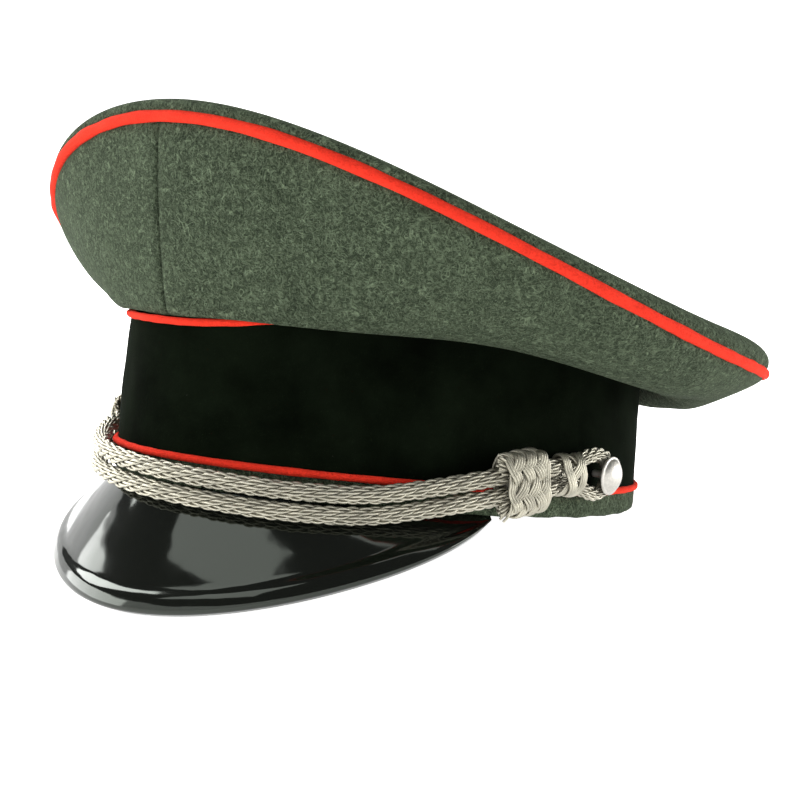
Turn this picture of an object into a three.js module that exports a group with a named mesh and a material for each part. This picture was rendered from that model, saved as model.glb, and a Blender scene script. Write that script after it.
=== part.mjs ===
// Officer's peaked cap: a wide wool crown over a velvet band, a lacquered peak, and a braided chin
// cord held by two side buttons. Millimetres, +Z up. The front faces -Y and the wearer's left is +X.
// The cap is modelled upright on its head oval and then leaned back, as it stands on a table: on the
// rim of the peak and on the back of the base.

import * as THREE from 'three';

const { degToRad, mapLinear } = THREE.MathUtils;
const { sin, cos, abs, sqrt, min, PI } = Math;

const LEAN = degToRad(9.75);
const GAP = 0.3;                 // clearance between pieces that touch on the real cap
const STATIONS = 60;             // sections round the whole head

// Head oval at the bottom of the band. EGG widens it toward the back of the head.
const HEAD = { halfWidth: 85.2, halfLength: 108.6, exponent: 1.9 };
const EGG = 0.07;

// Wool base strip, velvet band and the three lines of red piping.
const BASE_WALL = 2.6;
const BAND_WALL = 3.0;
const LOWER_PIPING_HEIGHT = 9.0;
const BAND_HEIGHT = 44.0;        // from the lower piping to the upper one
const BAND_SIDE_RISE = 2.3;      // the band is this much taller at the sides than its mean
const BAND_TOP_SHIFT = { halfWidth: -5.6, halfLength: 2.8, back: 0.5 };
const BAND_PIPING_RADIUS = 1.4;
const BAND_PIPING_PROUD = 0.5;   // how far the piping's centre stands outside the band's face
const CROWN_PIPING_RADIUS = 2.1;
const BAND_PIPING_SIDES = 6;
const CROWN_PIPING_SIDES = 8;

// Oval of the crown's top edge, and the height of that edge round the head.
const CROWN = { halfWidth: 129.6, halfLength: 128.0, centreY: 4.7, exponent: 2.11 };
const EDGE_HEIGHT = { mean: 71.6, frontLift: 26.8, saddle: 11.1, frontPeak: 2.5 };
const WOOL = 2.0;
const WOOL_REACH = 0.6;          // the wool's edges stand this far outside the edge piping's middle

// The top rolls up over the piping and sinks toward its middle. At the radius r, from 0 to 1, the roll
// is (1 - r^sharpness)^0.5 of its height, which varies with the first and third waves round the head.
const ROLL = { height: 10.4, firstWave: -1.2, thirdWave: 2.0, sharpness: 12.5, overhang: 1.45, sink: 8.0 };
const TOP_RINGS = [1, 0.995, 0.975, 0.94, 0.87, 0.72, 0.45, 0.14];
const PANEL_ROWS = 9;
const SEAM_HALF_ANGLE = degToRad(0.1);

// Side of the crown, one row for each 30 degrees from the front. The wall stands on the band, foot
// outside its face. It is a Bezier curve that leaves the band by (out, up) and comes to the top edge
// from (in, down).
const PANEL_TABLE = [
  { phi: 0, foot: 1.5, out: 5, up: 13, in: 2, down: 20 },
  { phi: 30, foot: 1.7, out: 10, up: -3, in: 6, down: 17 },
  { phi: 60, foot: 2.6, out: 13, up: -6.5, in: 7.5, down: 14 },
  { phi: 90, foot: 3, out: 14.5, up: -14.5, in: 8, down: 17.5 },
  { phi: 120, foot: 3.6, out: 8, up: -20.5, in: 13.5, down: 10.5 },
  { phi: 150, foot: 4.2, out: 2, up: -26, in: 15.5, down: 14 },
  { phi: 180, foot: 4.2, out: 5, up: -21.5, in: 6.5, down: 12 },
];

// Peak: reach and drop of its rim at the centre, and how both fade toward its two ends.
const PEAK = {
  halfAngle: degToRad(70.5),
  reach: 15.8, reachPower: 2.8, shoulderReach: 17.6,
  drop: 35.5, dropPower: 2.0, shoulderDrop: -14.1,
  thickness: 2.2, bulge: 1.0, bulgeLength: 30,
  beadWidth: 8.5, beadHeight: 1.3, beadShare: 0.4,
  endReach: 0.6, endDrop: 2.8, endHeight: -0.2,
};
const PEAK_SECTIONS = 36;
const PEAK_FIELD_ROWS = [0, 0.3, 0.6, 1];      // from the base to the groove
const PEAK_BEAD_ROWS = [0.14, 0.5, 0.86];      // across the raised rim

// Chin cord: two braided cords, one above the other. Height of the pair's middle and distance of
// their centres outside the head oval, round the front from the right keeper to the left one.
const CORD_RADIUS = 3.0;
const CORD_SIDES = 8;
const CORD_STEPS = 44;
const CORD_SPACING = 6.5;
const CORD_TABLE = [
  { phi: -68.7, height: 13.8, offset: 7.4 },
  { phi: -62, height: 12.4, offset: 7.6 },
  { phi: -50, height: 8.4, offset: 7.6 },
  { phi: -35, height: 5.2, offset: 6.0 },
  { phi: -20, height: 3.6, offset: 6.0 },
  { phi: 0, height: 2.0, offset: 6.0 },
  { phi: 15, height: 1.1, offset: 6.0 },
  { phi: 35, height: 0.6, offset: 6.0 },
  { phi: 48, height: 2.0, offset: 6.0 },
  { phi: 57, height: 5.3, offset: 6.7 },
  { phi: 65, height: 8.9, offset: 7.9 },
  { phi: 73, height: 12.2, offset: 7.6 },
  { phi: 79.7, height: 14.2, offset: 7.4 },
];

// Fittings at each side. Angles are from the front; the slides were not pushed home equally.
const SIDES = [
  { name: 'left', sign: 1, slide: 73, keeper: 83.2, button: 93.8 },
  { name: 'right', sign: -1, slide: 62, keeper: 72.2, button: 93.8 },
];
const SLIDE = { width: 17.5, height: 21, thick: 10, holeHeight: 15.4, holeThick: 8.4, corner: 3.2 };
const SLIDE_HEIGHT = 12.2;
const SLIDE_OFFSET = 7.8;
const SLIDE_ROLL = degToRad(11);
const KEEPER = { width: 12, height: 14, thick: 7, holeHeight: 10.4, holeThick: 4.6, corner: 2.6 };
const KEEPER_HEIGHT = 15.3;
const KEEPER_OFFSET = 6.0;
const BUTTON = { radius: 6.5, rim: 0.9, dome: 2.7, shankRadius: 1.4, height: 15.6, offset: 7.6 };
const LOOP_RADIUS = 2.4;
const LOOP_OFFSET = 4.8;
const LOOP_EYE = [[2.9, 4.1], [4.6, 0], [2.9, -4.1]];   // round the shank: (away from the keeper, up)
const LOOP_SPREAD = 6.2;         // half the distance between the loop's two strands at the button
const LOOP_STRAND = [[1, 0.6], [0.6, 0.9], [0.2, 1]];   // (part of the way to the keeper, of the spread)
const LOOP_SIDES = 6;
const LOOP_STEPS = 26;
const BUTTON_SIDES = 20;

const COLOURS = {
  wool: 0x556350,
  piping: 0xe03a28,
  velvet: 0x0c110b,
  peak: 0x141513,
  cord: 0x8a8778,
  button: 0xbcb9ad,
};
const WOOL_FINISH = { color: COLOURS.wool, roughness: 0.95, metalness: 0 };
const PIPING_FINISH = { color: COLOURS.piping, roughness: 0.9, metalness: 0 };
const VELVET_FINISH = { color: COLOURS.velvet, roughness: 1, metalness: 0 };
const PEAK_FINISH = { color: COLOURS.peak, roughness: 0.12, metalness: 0 };
const CORD_FINISH = { color: COLOURS.cord, roughness: 0.4, metalness: 0.7 };
const BUTTON_FINISH = { color: COLOURS.button, roughness: 0.45, metalness: 0.9 };

// Point of an oval at the angle phi, measured from the front toward the wearer's left.
function ovalPoint(halfWidth, halfLength, phi, height, centreY = 0, exponent = HEAD.exponent,
  egg = EGG) {
  const s = sin(phi);
  const c = cos(phi);
  const k = (abs(s) ** exponent + abs(c) ** exponent) ** (-1 / exponent);
  const y = -halfLength * c * k;
  const x = halfWidth * s * k * (1 + egg * y / halfLength);
  return new THREE.Vector3(x, y + centreY, height);
}

function headPoint(phi, height, offset = 0) {
  return ovalPoint(HEAD.halfWidth + offset, HEAD.halfLength + offset, phi, height);
}

// Point of the band's face: t is 0 at the lower piping and 1 at the upper one.
function bandPoint(phi, t, offset = 0) {
  const halfWidth = HEAD.halfWidth + t * BAND_TOP_SHIFT.halfWidth + offset;
  const halfLength = HEAD.halfLength + t * BAND_TOP_SHIFT.halfLength + offset;
  const height = LOWER_PIPING_HEIGHT + t * bandRise(phi);
  return ovalPoint(halfWidth, halfLength, phi, height, t * BAND_TOP_SHIFT.back);
}

function bandRise(phi) {
  return BAND_HEIGHT - BAND_SIDE_RISE * cos(2 * phi);
}

function edgePoint(phi, scale = 1) {
  const { mean, frontLift, saddle, frontPeak } = EDGE_HEIGHT;
  const height = mean + frontLift * scale * cos(phi) + saddle * scale ** 2 * cos(2 * phi)
    + frontPeak * scale ** 3 * cos(3 * phi);
  const { halfWidth, halfLength, centreY, exponent } = CROWN;
  return ovalPoint(halfWidth * scale, halfLength * scale, phi, height, centreY, exponent, 0);
}

// Horizontal direction away from the head at phi.
function outward(phi) {
  return new THREE.Vector3(HEAD.halfLength * sin(phi), -HEAD.halfWidth * cos(phi), 0).normalize();
}

// Joins closed loops with equal counts of points into one closed body. Each loop lists one half of
// a section and then the other half backward, so a strip between the halves closes an open end.
function skin(loops, isRing) {
  const count = loops[0].length;
  const index = [];
  const spans = isRing ? loops.length : loops.length - 1;
  for (let i = 0; i < spans; i++) {
    const a = i * count;
    const b = ((i + 1) % loops.length) * count;
    for (let j = 0; j < count; j++) {
      const k = (j + 1) % count;
      index.push(a + j, b + j, b + k, a + j, b + k, a + k);
    }
  }
  const last = (loops.length - 1) * count;
  for (let j = 0; j < count / 2 - 1 && !isRing; j++) {
    const [p, q, r, s] = [j, j + 1, count - 2 - j, count - 1 - j];
    index.push(p, q, r, p, r, s);
    index.push(last + p, last + r, last + q, last + p, last + s, last + r);
  }
  const geometry = new THREE.BufferGeometry();
  const numbers = loops.flat().flatMap((point) => point.toArray());
  geometry.setAttribute('position', new THREE.Float32BufferAttribute(numbers, 3));
  geometry.setIndex(index);
  return faceOutward(geometry);
}

// Turns the faces outward where the enclosed volume comes out negative.
function faceOutward(geometry) {
  const position = geometry.getAttribute('position');
  const index = geometry.getIndex();
  const corner = [new THREE.Vector3(), new THREE.Vector3(), new THREE.Vector3()];
  let volume = 0;
  for (let i = 0; i < index.count; i += 3) {
    corner.forEach((p, k) => p.fromBufferAttribute(position, index.getX(i + k)));
    volume += corner[0].dot(corner[1].cross(corner[2])) / 6;
  }
  if (volume < 0) {
    index.array.reverse();
  }
  geometry.computeVertexNormals();
  return geometry;
}

function around(make) {
  return Array.from({ length: STATIONS }, (_, i) => make(-PI + 2 * PI * i / STATIONS));
}

// Ring of round piping whose centre line is given by path(phi).
function pipingRing(path, radius, sides) {
  const section = (phi) => {
    const centre = path(phi);
    const out = outward(phi);
    return Array.from({ length: sides }, (_, j) => {
      const turn = 2 * PI * j / sides;
      const height = centre.z + radius * sin(turn);
      return centre.clone().addScaledVector(out, radius * cos(turn)).setZ(height);
    });
  };
  return skin(around(section), true);
}

// Smooth value of one column of an evenly spaced table that is mirrored at both of its ends.
function tableValue(column, phi) {
  const step = PANEL_TABLE[1].phi - PANEL_TABLE[0].phi;
  const place = abs(phi) / degToRad(step);
  const row = min(Math.floor(place), PANEL_TABLE.length - 2);
  const mirror = (i) => PANEL_TABLE[i < 0 ? -i : min(i, 2 * (PANEL_TABLE.length - 1) - i)][column];
  const [a, b, c, d] = [-1, 0, 1, 2].map((k) => mirror(row + k));
  const f = place - row;
  const linear = (c - a) / 2;
  const square = (2 * a - 5 * b + 4 * c - d) / 2;
  const cubic = (3 * b - a - 3 * c + d) / 2;
  return b + f * linear + f ** 2 * square + f ** 3 * cubic;
}

// One upright section of the crown's side wall, outer face up and inner face down.
function panelSection(phi) {
  const up = new THREE.Vector3(0, 0, 1);
  const foot = bandPoint(phi, 1, tableValue('foot', phi));
  foot.z += BAND_PIPING_RADIUS + GAP;
  const head = edgePoint(phi);
  head.z -= CROWN_PIPING_RADIUS + GAP;
  const out = head.clone().sub(foot).setZ(0).normalize();
  head.addScaledVector(out, WOOL_REACH);
  const leave = foot.clone().addScaledVector(out, tableValue('out', phi));
  leave.addScaledVector(up, tableValue('up', phi));
  const arrive = head.clone().addScaledVector(out, -tableValue('in', phi));
  arrive.addScaledVector(up, -tableValue('down', phi));
  const curve = new THREE.CubicBezierCurve3(foot, leave, arrive, head);
  const outer = [];
  const inner = [];
  for (let j = 0; j < PANEL_ROWS; j++) {
    const t = j / (PANEL_ROWS - 1);
    const point = curve.getPoint(t);
    const tangent = curve.getTangent(t);
    const normal = new THREE.Vector3(out.x * tangent.z, out.y * tangent.z, -out.dot(tangent));
    const inward = j === PANEL_ROWS - 1 ? out.clone().negate() : normal.negate();
    outer.push(point);
    inner.unshift(point.clone().addScaledVector(inward, WOOL));
  }
  return [...outer, ...inner];
}

function crownPanel(sign) {
  const count = STATIONS / 2 + 1;
  const sections = Array.from({ length: count }, (_, i) => {
    const phi = mapLinear(i, 0, count - 1, SEAM_HALF_ANGLE, PI - SEAM_HALF_ANGLE);
    return panelSection(sign * phi);
  });
  return skin(sections, false);
}

// Top of the crown: a saddle stretched across the edge oval, rolled up all round over the piping.
function crownTop() {
  const { height, firstWave, thirdWave, sharpness, overhang, sink } = ROLL;
  const ring = (scale, isInner) => {
    const rise = sqrt(1 - scale ** sharpness);
    const reach = WOOL_REACH + 4 * overhang * rise * (1 - rise) - (isInner ? WOOL : 0);
    const level = CROWN_PIPING_RADIUS + GAP - sink * (1 - scale ** 2) - (isInner && rise > 0 ? WOOL : 0);
    return around((phi) => {
      const point = edgePoint(phi, scale + reach / CROWN.halfWidth);
      const roll = height + firstWave * scale * cos(phi) + thirdWave * scale ** 3 * cos(3 * phi);
      point.z = edgePoint(phi, scale).z + level + roll * rise;
      return point;
    });
  };
  const outer = TOP_RINGS.map((scale) => ring(scale, false)).reverse();
  const inner = TOP_RINGS.map((scale) => ring(scale, true));
  return skin([...outer, ...inner], false);
}

function wallRing(bottom, top) {
  return skin(around((phi) => [bottom(phi, 0), top(phi, 0), top(phi, 1), bottom(phi, 1)]), true);
}

function baseStrip() {
  const topHeight = LOWER_PIPING_HEIGHT - BAND_PIPING_RADIUS - GAP;
  const at = (height) => (phi, inner) => headPoint(phi, height, -inner * BASE_WALL);
  return wallRing(at(0), at(topHeight));
}

function capBand() {
  const at = (isTop) => (phi, inner) => {
    const margin = (BAND_PIPING_RADIUS + GAP) / bandRise(phi);
    return bandPoint(phi, isTop ? 1 - margin : margin, -inner * BAND_WALL);
  };
  return wallRing(at(false), at(true));
}

// Section of the peak at s, from -1 at its right end to 1 at its left end.
function peakSection(s) {
  const phi = s * PEAK.halfAngle;
  const a = abs(s);
  const shoulder = a * a * (1 - a * a);
  const reach = PEAK.endReach + PEAK.reach * (1 - a ** PEAK.reachPower) + PEAK.shoulderReach * shoulder;
  const drop = PEAK.endDrop + PEAK.drop * (1 - a ** PEAK.dropPower) + PEAK.shoulderDrop * shoulder;
  const length = sqrt(reach * reach + drop * drop);
  const out = outward(phi);
  const along = out.clone().multiplyScalar(reach / length).setZ(-drop / length);
  const normal = out.clone().multiplyScalar(drop / length).setZ(reach / length);
  const bead = min(PEAK.beadWidth, PEAK.beadShare * length) / length;
  const fade = min(1, length / PEAK.bulgeLength);
  const field = PEAK_FIELD_ROWS.map((t) => [t * (1 - bead), 0]);
  const raised = PEAK.beadHeight * fade;
  const rim = PEAK_BEAD_ROWS.map((t) => [1 - bead + t * bead, raised * sqrt(sin(PI * t))]);
  const rows = [...field, ...rim, [1, 0]];
  const start = headPoint(phi, -GAP, PEAK.endHeight);
  const face = (depth) => rows.map(([v, raise]) => {
    const bulge = PEAK.bulge * fade * sin(PI * v);
    const level = bulge + (depth === 0 ? raise : -depth);
    return start.clone().addScaledVector(along, v * length).addScaledVector(normal, level);
  });
  return [...face(0), ...face(PEAK.thickness).reverse()];
}

function peak() {
  const count = PEAK_SECTIONS + 1;
  const place = (i) => mapLinear(i, 0, count - 1, -1, 1);
  return skin(Array.from({ length: count }, (_, i) => peakSection(place(i))), false);
}

function tube(curve, radius, sides, steps) {
  const section = new THREE.Shape(Array.from({ length: sides }, (_, j) => {
    const turn = 2 * PI * j / sides;
    return new THREE.Vector2(radius * cos(turn), radius * sin(turn));
  }));
  return new THREE.ExtrudeGeometry(section, { steps, extrudePath: curve, curveSegments: 1 });
}

function chinCord(level) {
  const points = CORD_TABLE.map(({ phi, height, offset }) => (
    headPoint(degToRad(phi), height + level * CORD_SPACING / 2, offset)
  ));
  return tube(new THREE.CatmullRomCurve3(points), CORD_RADIUS - GAP / 2, CORD_SIDES, CORD_STEPS);
}

function roundedRectangle(path, width, height, corner) {
  const [x, y] = [width / 2, height / 2];
  path.moveTo(-x + corner, -y);
  path.lineTo(x - corner, -y);
  path.quadraticCurveTo(x, -y, x, -y + corner);
  path.lineTo(x, y - corner);
  path.quadraticCurveTo(x, y, x - corner, y);
  path.lineTo(-x + corner, y);
  path.quadraticCurveTo(-x, y, -x, y - corner);
  path.lineTo(-x, -y + corner);
  path.quadraticCurveTo(-x, -y, -x + corner, -y);
  return path;
}

// Flat sleeve with a hole for the cords, drawn in (outward, up) and drawn out along the band.
function sleeve({ width, height, thick, holeHeight, holeThick, corner }) {
  const shape = roundedRectangle(new THREE.Shape(), thick, height, corner);
  shape.holes.push(roundedRectangle(new THREE.Path(), holeThick, holeHeight, corner / 2));
  const settings = { depth: width, bevelEnabled: false, curveSegments: 3 };
  const geometry = new THREE.ExtrudeGeometry(shape, settings);
  return geometry.translate(0, 0, -width / 2);
}

// Button and shank turned about the axis that points away from the band.
function button() {
  const { radius, rim, dome, shankRadius, offset } = BUTTON;
  const profile = [
    [0, GAP - offset], [shankRadius, GAP - offset], [shankRadius, 0], [radius, 0], [radius, rim],
    [0.8 * radius, rim + 0.55 * dome], [0.45 * radius, rim + 0.88 * dome], [0, rim + dome],
  ];
  return new THREE.LatheGeometry(profile.map(([r, y]) => new THREE.Vector2(r, y)), BUTTON_SIDES);
}

// Eye of the chin cord: out from the keeper above the shank, round it and back below.
function buttonLoop(side) {
  const buttonPhi = side.sign * degToRad(side.button);
  const keeperPhi = side.sign * degToRad(side.keeper);
  const distance = headPoint(buttonPhi, 0).distanceTo(headPoint(keeperPhi, 0));
  const mmPerRadian = distance / abs(buttonPhi - keeperPhi);
  const span = distance - KEEPER.width / 2 - 2 * GAP;
  const strand = (level) => LOOP_STRAND.map(([way, part]) => [-way * span, level * part * LOOP_SPREAD]);
  const route = [...strand(1), ...LOOP_EYE, ...strand(-1).reverse()];
  const points = route.map(([along, level]) => {
    const phi = buttonPhi + side.sign * along / mmPerRadian;
    return headPoint(phi, BUTTON.height + level, LOOP_OFFSET);
  });
  return tube(new THREE.CatmullRomCurve3(points), LOOP_RADIUS, LOOP_SIDES, LOOP_STEPS);
}

function named(name, geometry, finish) {
  const mesh = new THREE.Mesh(geometry, new THREE.MeshStandardMaterial(finish));
  mesh.name = name;
  return mesh;
}

// Stands a piece on the band at phi: its x points away from the head, y up and z round the head.
function standOnBand(mesh, phi, height, offset, roll = 0) {
  const out = outward(phi);
  const up = new THREE.Vector3(0, 0, 1);
  mesh.quaternion.setFromRotationMatrix(new THREE.Matrix4().makeBasis(out, up, out.clone().cross(up)));
  mesh.rotateX(roll);
  mesh.position.copy(headPoint(phi, height, offset));
  return mesh;
}

const cap = new THREE.Group();
cap.add(named('base_strip', baseStrip(), WOOL_FINISH));
cap.add(named('cap_band', capBand(), VELVET_FINISH));
cap.add(named('crown_panel_left', crownPanel(1), WOOL_FINISH));
cap.add(named('crown_panel_right', crownPanel(-1), WOOL_FINISH));
cap.add(named('crown_top', crownTop(), WOOL_FINISH));
const lowerPath = (phi) => bandPoint(phi, 0, BAND_PIPING_PROUD);
const upperPath = (phi) => bandPoint(phi, 1, BAND_PIPING_PROUD);
const edgePath = (phi) => edgePoint(phi);
const lowerPiping = pipingRing(lowerPath, BAND_PIPING_RADIUS, BAND_PIPING_SIDES);
const upperPiping = pipingRing(upperPath, BAND_PIPING_RADIUS, BAND_PIPING_SIDES);
const edgePiping = pipingRing(edgePath, CROWN_PIPING_RADIUS, CROWN_PIPING_SIDES);
cap.add(named('band_bottom_piping', lowerPiping, PIPING_FINISH));
cap.add(named('band_top_piping', upperPiping, PIPING_FINISH));
cap.add(named('crown_piping', edgePiping, PIPING_FINISH));
cap.add(named('peak', peak(), PEAK_FINISH));
cap.add(named('chin_cord_upper', chinCord(1), CORD_FINISH));
cap.add(named('chin_cord_lower', chinCord(-1), CORD_FINISH));

for (const side of SIDES) {
  const slidePhi = side.sign * degToRad(side.slide);
  const keeperPhi = side.sign * degToRad(side.keeper);
  const buttonPhi = side.sign * degToRad(side.button);
  const slide = named(`slide_knot_${side.name}`, sleeve(SLIDE), CORD_FINISH);
  cap.add(standOnBand(slide, slidePhi, SLIDE_HEIGHT, SLIDE_OFFSET, side.sign * SLIDE_ROLL));
  const keeper = named(`keeper_knot_${side.name}`, sleeve(KEEPER), CORD_FINISH);
  cap.add(standOnBand(keeper, keeperPhi, KEEPER_HEIGHT, KEEPER_OFFSET));
  cap.add(named(`button_loop_${side.name}`, buttonLoop(side), CORD_FINISH));
  const knob = named(`button_${side.name}`, button(), BUTTON_FINISH);
  standOnBand(knob, buttonPhi, BUTTON.height, BUTTON.offset);
  knob.rotateZ(-PI / 2);
  cap.add(knob);
}

// Lean the cap back and stand it on the floor, centred over the origin.
cap.rotation.x = -LEAN;
const part = new THREE.Group();
part.add(cap);
const box = new THREE.Box3().setFromObject(part, true);
const centre = box.getCenter(new THREE.Vector3());
cap.position.set(-centre.x, -centre.y, -box.min.z);

export default part;
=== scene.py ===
"""Finished surfaces of a peaked cap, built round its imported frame.

Lengths are metres. Shapes are worked out upright on the head oval, with the front toward -Y and the
wearer's left toward +X, and then leaned back and stood on the floor as the frame is.
"""

from math import cos, pi, radians, sin

import bpy
import numpy as np
from bpy.props import FloatProperty, FloatVectorProperty, PointerProperty
from mathutils import Matrix, Vector


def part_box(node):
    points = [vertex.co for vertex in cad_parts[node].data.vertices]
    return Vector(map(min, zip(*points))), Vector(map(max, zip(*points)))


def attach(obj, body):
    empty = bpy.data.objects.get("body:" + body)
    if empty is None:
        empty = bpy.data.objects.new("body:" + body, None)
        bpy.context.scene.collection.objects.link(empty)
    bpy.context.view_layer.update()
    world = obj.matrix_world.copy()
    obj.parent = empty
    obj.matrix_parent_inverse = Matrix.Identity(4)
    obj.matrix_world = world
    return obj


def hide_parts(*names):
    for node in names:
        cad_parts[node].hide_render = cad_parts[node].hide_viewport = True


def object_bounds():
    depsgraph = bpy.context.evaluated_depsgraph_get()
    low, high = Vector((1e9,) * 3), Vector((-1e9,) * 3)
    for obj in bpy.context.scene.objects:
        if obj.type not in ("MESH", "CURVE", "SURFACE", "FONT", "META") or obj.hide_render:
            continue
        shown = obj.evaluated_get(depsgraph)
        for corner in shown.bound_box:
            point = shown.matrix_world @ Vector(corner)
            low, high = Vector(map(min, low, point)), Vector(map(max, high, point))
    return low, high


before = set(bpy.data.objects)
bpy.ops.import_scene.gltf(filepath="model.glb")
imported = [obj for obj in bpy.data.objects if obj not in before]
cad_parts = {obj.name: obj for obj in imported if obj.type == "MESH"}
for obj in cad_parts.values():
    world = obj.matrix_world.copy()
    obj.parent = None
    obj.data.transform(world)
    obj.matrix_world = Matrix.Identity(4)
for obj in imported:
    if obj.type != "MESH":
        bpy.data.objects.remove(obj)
cad_box = [list(corner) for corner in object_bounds()]

bl_info = {
    "name": "Peaked Cap",
    "version": (1, 0, 0),
    "blender": (4, 5, 0),
    "location": "3D View > Sidebar > Cap",
    "description": "Wool, velvet, piping, lacquered peak and braided chin cord of a peaked cap",
    "category": "Add Mesh",
}

TURN = 2 * pi
SEED = 7
UP = np.array([0.0, 0.0, 1.0])

HEAD_POWER, EGG = 1.9, 0.07     # squareness of the head oval, and how much it widens toward the back
CROWN_POWER, CROWN_BACK = 2.11, 0.0047    # squareness of the crown's top oval, and how far back it lies
WOOL_REACH = 0.0006             # the wool's edges stand this far outside the edge piping's middle
PROUD = 0.0005                  # how far the band's piping stands outside the band's face

# Band, from its foot to its top: narrower at each side, longer at each end, further back, and how much
# taller it is at the sides than halfway round.
BAND_NARROWS, BAND_LENGTHENS, BAND_BACK, BAND_WAVE = 0.0056, 0.0028, 0.0005, 0.0023

# Height of the crown's top edge: its mean, and its first, second and third waves round the head.
EDGE_MEAN, EDGE_LIFT, EDGE_SADDLE, EDGE_THIRD = 0.0716, 0.0268, 0.0111, 0.0025

# The wool's foot and head cover the pipings down or up to these parts of their radii. It turns in at both
# edges, and sinks into a groove at its two seams.
FOOT_LIFT, HEAD_DROP = 0.8, 0.75
TURN_IN, TURN_IN_SPREAD = 0.0012, 0.02
SEAM_DEPTH, SEAM_WIDTH = 0.00055, 0.0008

# Slow unevenness of the wool's side and top, the band and the strip; the swell of the last two; and how far
# the felt's middle wanders, and its radius swells as a part of itself.
SIDE_RIPPLE, TOP_RIPPLE, BAND_RIPPLE, STRIP_RIPPLE = 0.00035, 0.0005, 0.00022, 0.0002
BAND_PUFF, STRIP_PUFF = 0.0004, 0.0005
FELT_WANDER, FELT_SWELL = 0.00012, 0.05

# Pipings: the drawn part of the felt's radius, how far the wool hides the upper one (part of the band's
# height, and depth in metres), and where: the middle, the bare half and the fade, in degrees.
CROWN_ROLL, BAND_ROLL = 0.90, 0.86
TUCK_UP, TUCK_IN = 0.045, 0.0020
TUCK_MIDDLE, TUCK_BARE, TUCK_FADE = -34, 37, 28

# Side of the crown, one row for each 30 degrees from the front: the wall stands on the band, foot outside
# its face, leaves it by (out, up) and comes to the top edge from (in, down).
PANEL_ROWS = np.array([
    (0.0011, 0.0050, 0.0130, 0.0020, 0.0200),    # front
    (0.0012, 0.0100, -0.0030, 0.0060, 0.0170),
    (0.0021, 0.0130, -0.0065, 0.0075, 0.0140),
    (0.0030, 0.0145, -0.0145, 0.0080, 0.0175),   # side
    (0.0036, 0.0080, -0.0205, 0.0135, 0.0105),
    (0.0042, 0.0020, -0.0260, 0.0155, 0.0140),
    (0.0042, 0.0050, -0.0215, 0.0065, 0.0120),   # back
])

# Top of the crown: height of the roll over the piping, its first and third waves round the head, how
# sharply it turns over, how far it hangs out over the piping, and how far the middle sinks.
ROLL_HEIGHT, ROLL_FIRST, ROLL_THIRD, ROLL_SHARPNESS = 0.0104, -0.0012, 0.0020, 12.5
ROLL_OVERHANG, ROLL_SINK = 0.00145, 0.0080

# Soft dents and swellings of the side wall: angle from the front, place from the band (0) to the
# top edge (1), spread along and across in degrees and wall fraction, height (inward is negative).
DENTS = np.array([
    (112, 0.40, 4.0, 0.12, -0.0016), (104, 0.30, 5.0, 0.14, 0.0010),
    (128, 0.45, 9.0, 0.20, 0.0014), (62, 0.30, 12.0, 0.18, -0.0009),
    (30, 0.25, 9.0, 0.15, -0.0006), (-40, 0.35, 10.0, 0.20, -0.0010),
    (-115, 0.40, 8.0, 0.20, -0.0014), (165, 0.45, 9.0, 0.20, -0.0012),
])

# Peak: half its angle, how far its ends stand out, come down and fall away, and how far its shoulders are
# pushed out and lifted; the rim's bead, the field's bulge, and how far its root runs up and in.
PEAK_HALF_ANGLE = radians(70.5)
PEAK_END_REACH, PEAK_END_DROP, PEAK_END_FALL = 0.0006, 0.0008, 0.0020
SHOULDER_REACH, SHOULDER_LIFT = 0.0176, 0.0141
BEAD_WIDTH, BEAD_HEIGHT, FIELD_BULGE = 0.0085, 0.0011, 0.0010
ROOT_UP, ROOT_IN = 0.0009, 0.0011

# Middle of the pair of chin cords, round the front: angle, height, distance outside the head oval.
CORD_ROUTE = np.array([
    (-68.7, 0.0138, 0.0074), (-62, 0.0124, 0.0076), (-50, 0.0084, 0.0076), (-35, 0.0052, 0.0060),
    (-20, 0.0036, 0.0060), (0, 0.0020, 0.0060), (15, 0.0011, 0.0060), (35, 0.0006, 0.0060),
    (48, 0.0020, 0.0060), (57, 0.0053, 0.0067), (65, 0.0089, 0.0079), (73, 0.0122, 0.0076),
    (79.7, 0.0142, 0.0074),
])

# Rope: strands, and wires in each; a wire's radius and a strand's distance from the middle, in rope radii;
# a wire's distance from its strand's middle, in wire radii; its lay against the strand's; the plain core.
STRANDS, STRAND_WIRES = 6, 3
WIRE_SIZE, STRAND_OUT, WIRE_OUT, WIRE_LAY, CORE_SIZE, CORE_SIDES = 0.152, 0.65, 1.35, 0.23, 0.5, 8
STAGGER = 1.3                   # radians by which each strand's wires start later than the last one's
CORD_LAY, CORD_STEP = 0.0380, 0.0006
END_LAY, END_STEP = 0.0280, 0.0005

# Fittings of each side: which way round, and the angles of slide, keeper and button.
SIDES = {"left": (1, 73.0, 83.2, 93.8), "right": (-1, 62.0, 72.2, 93.8)}

# Each fitting's height and distance outside the head oval, and its half width, height and thickness.
SLIDE_HEIGHT, SLIDE_OFFSET, SLIDE_LEAN = 0.0122, 0.0078, radians(11)
SLIDE_SIZE, SLIDE_CORE = (0.0070, 0.0096, 0.0040), (0.0062, 0.0088, 0.0030)
KEEPER_HEIGHT, KEEPER_OFFSET, KEEPER_SIZE = 0.0153, 0.0060, (0.0042, 0.0064, 0.0037)
BUTTON_HEIGHT, BUTTON_OFFSET, BUTTON_EYE = 0.0156, 0.0076, 0.0046
END_RADIUS, END_OFFSET = 0.0026, 0.0048

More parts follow.
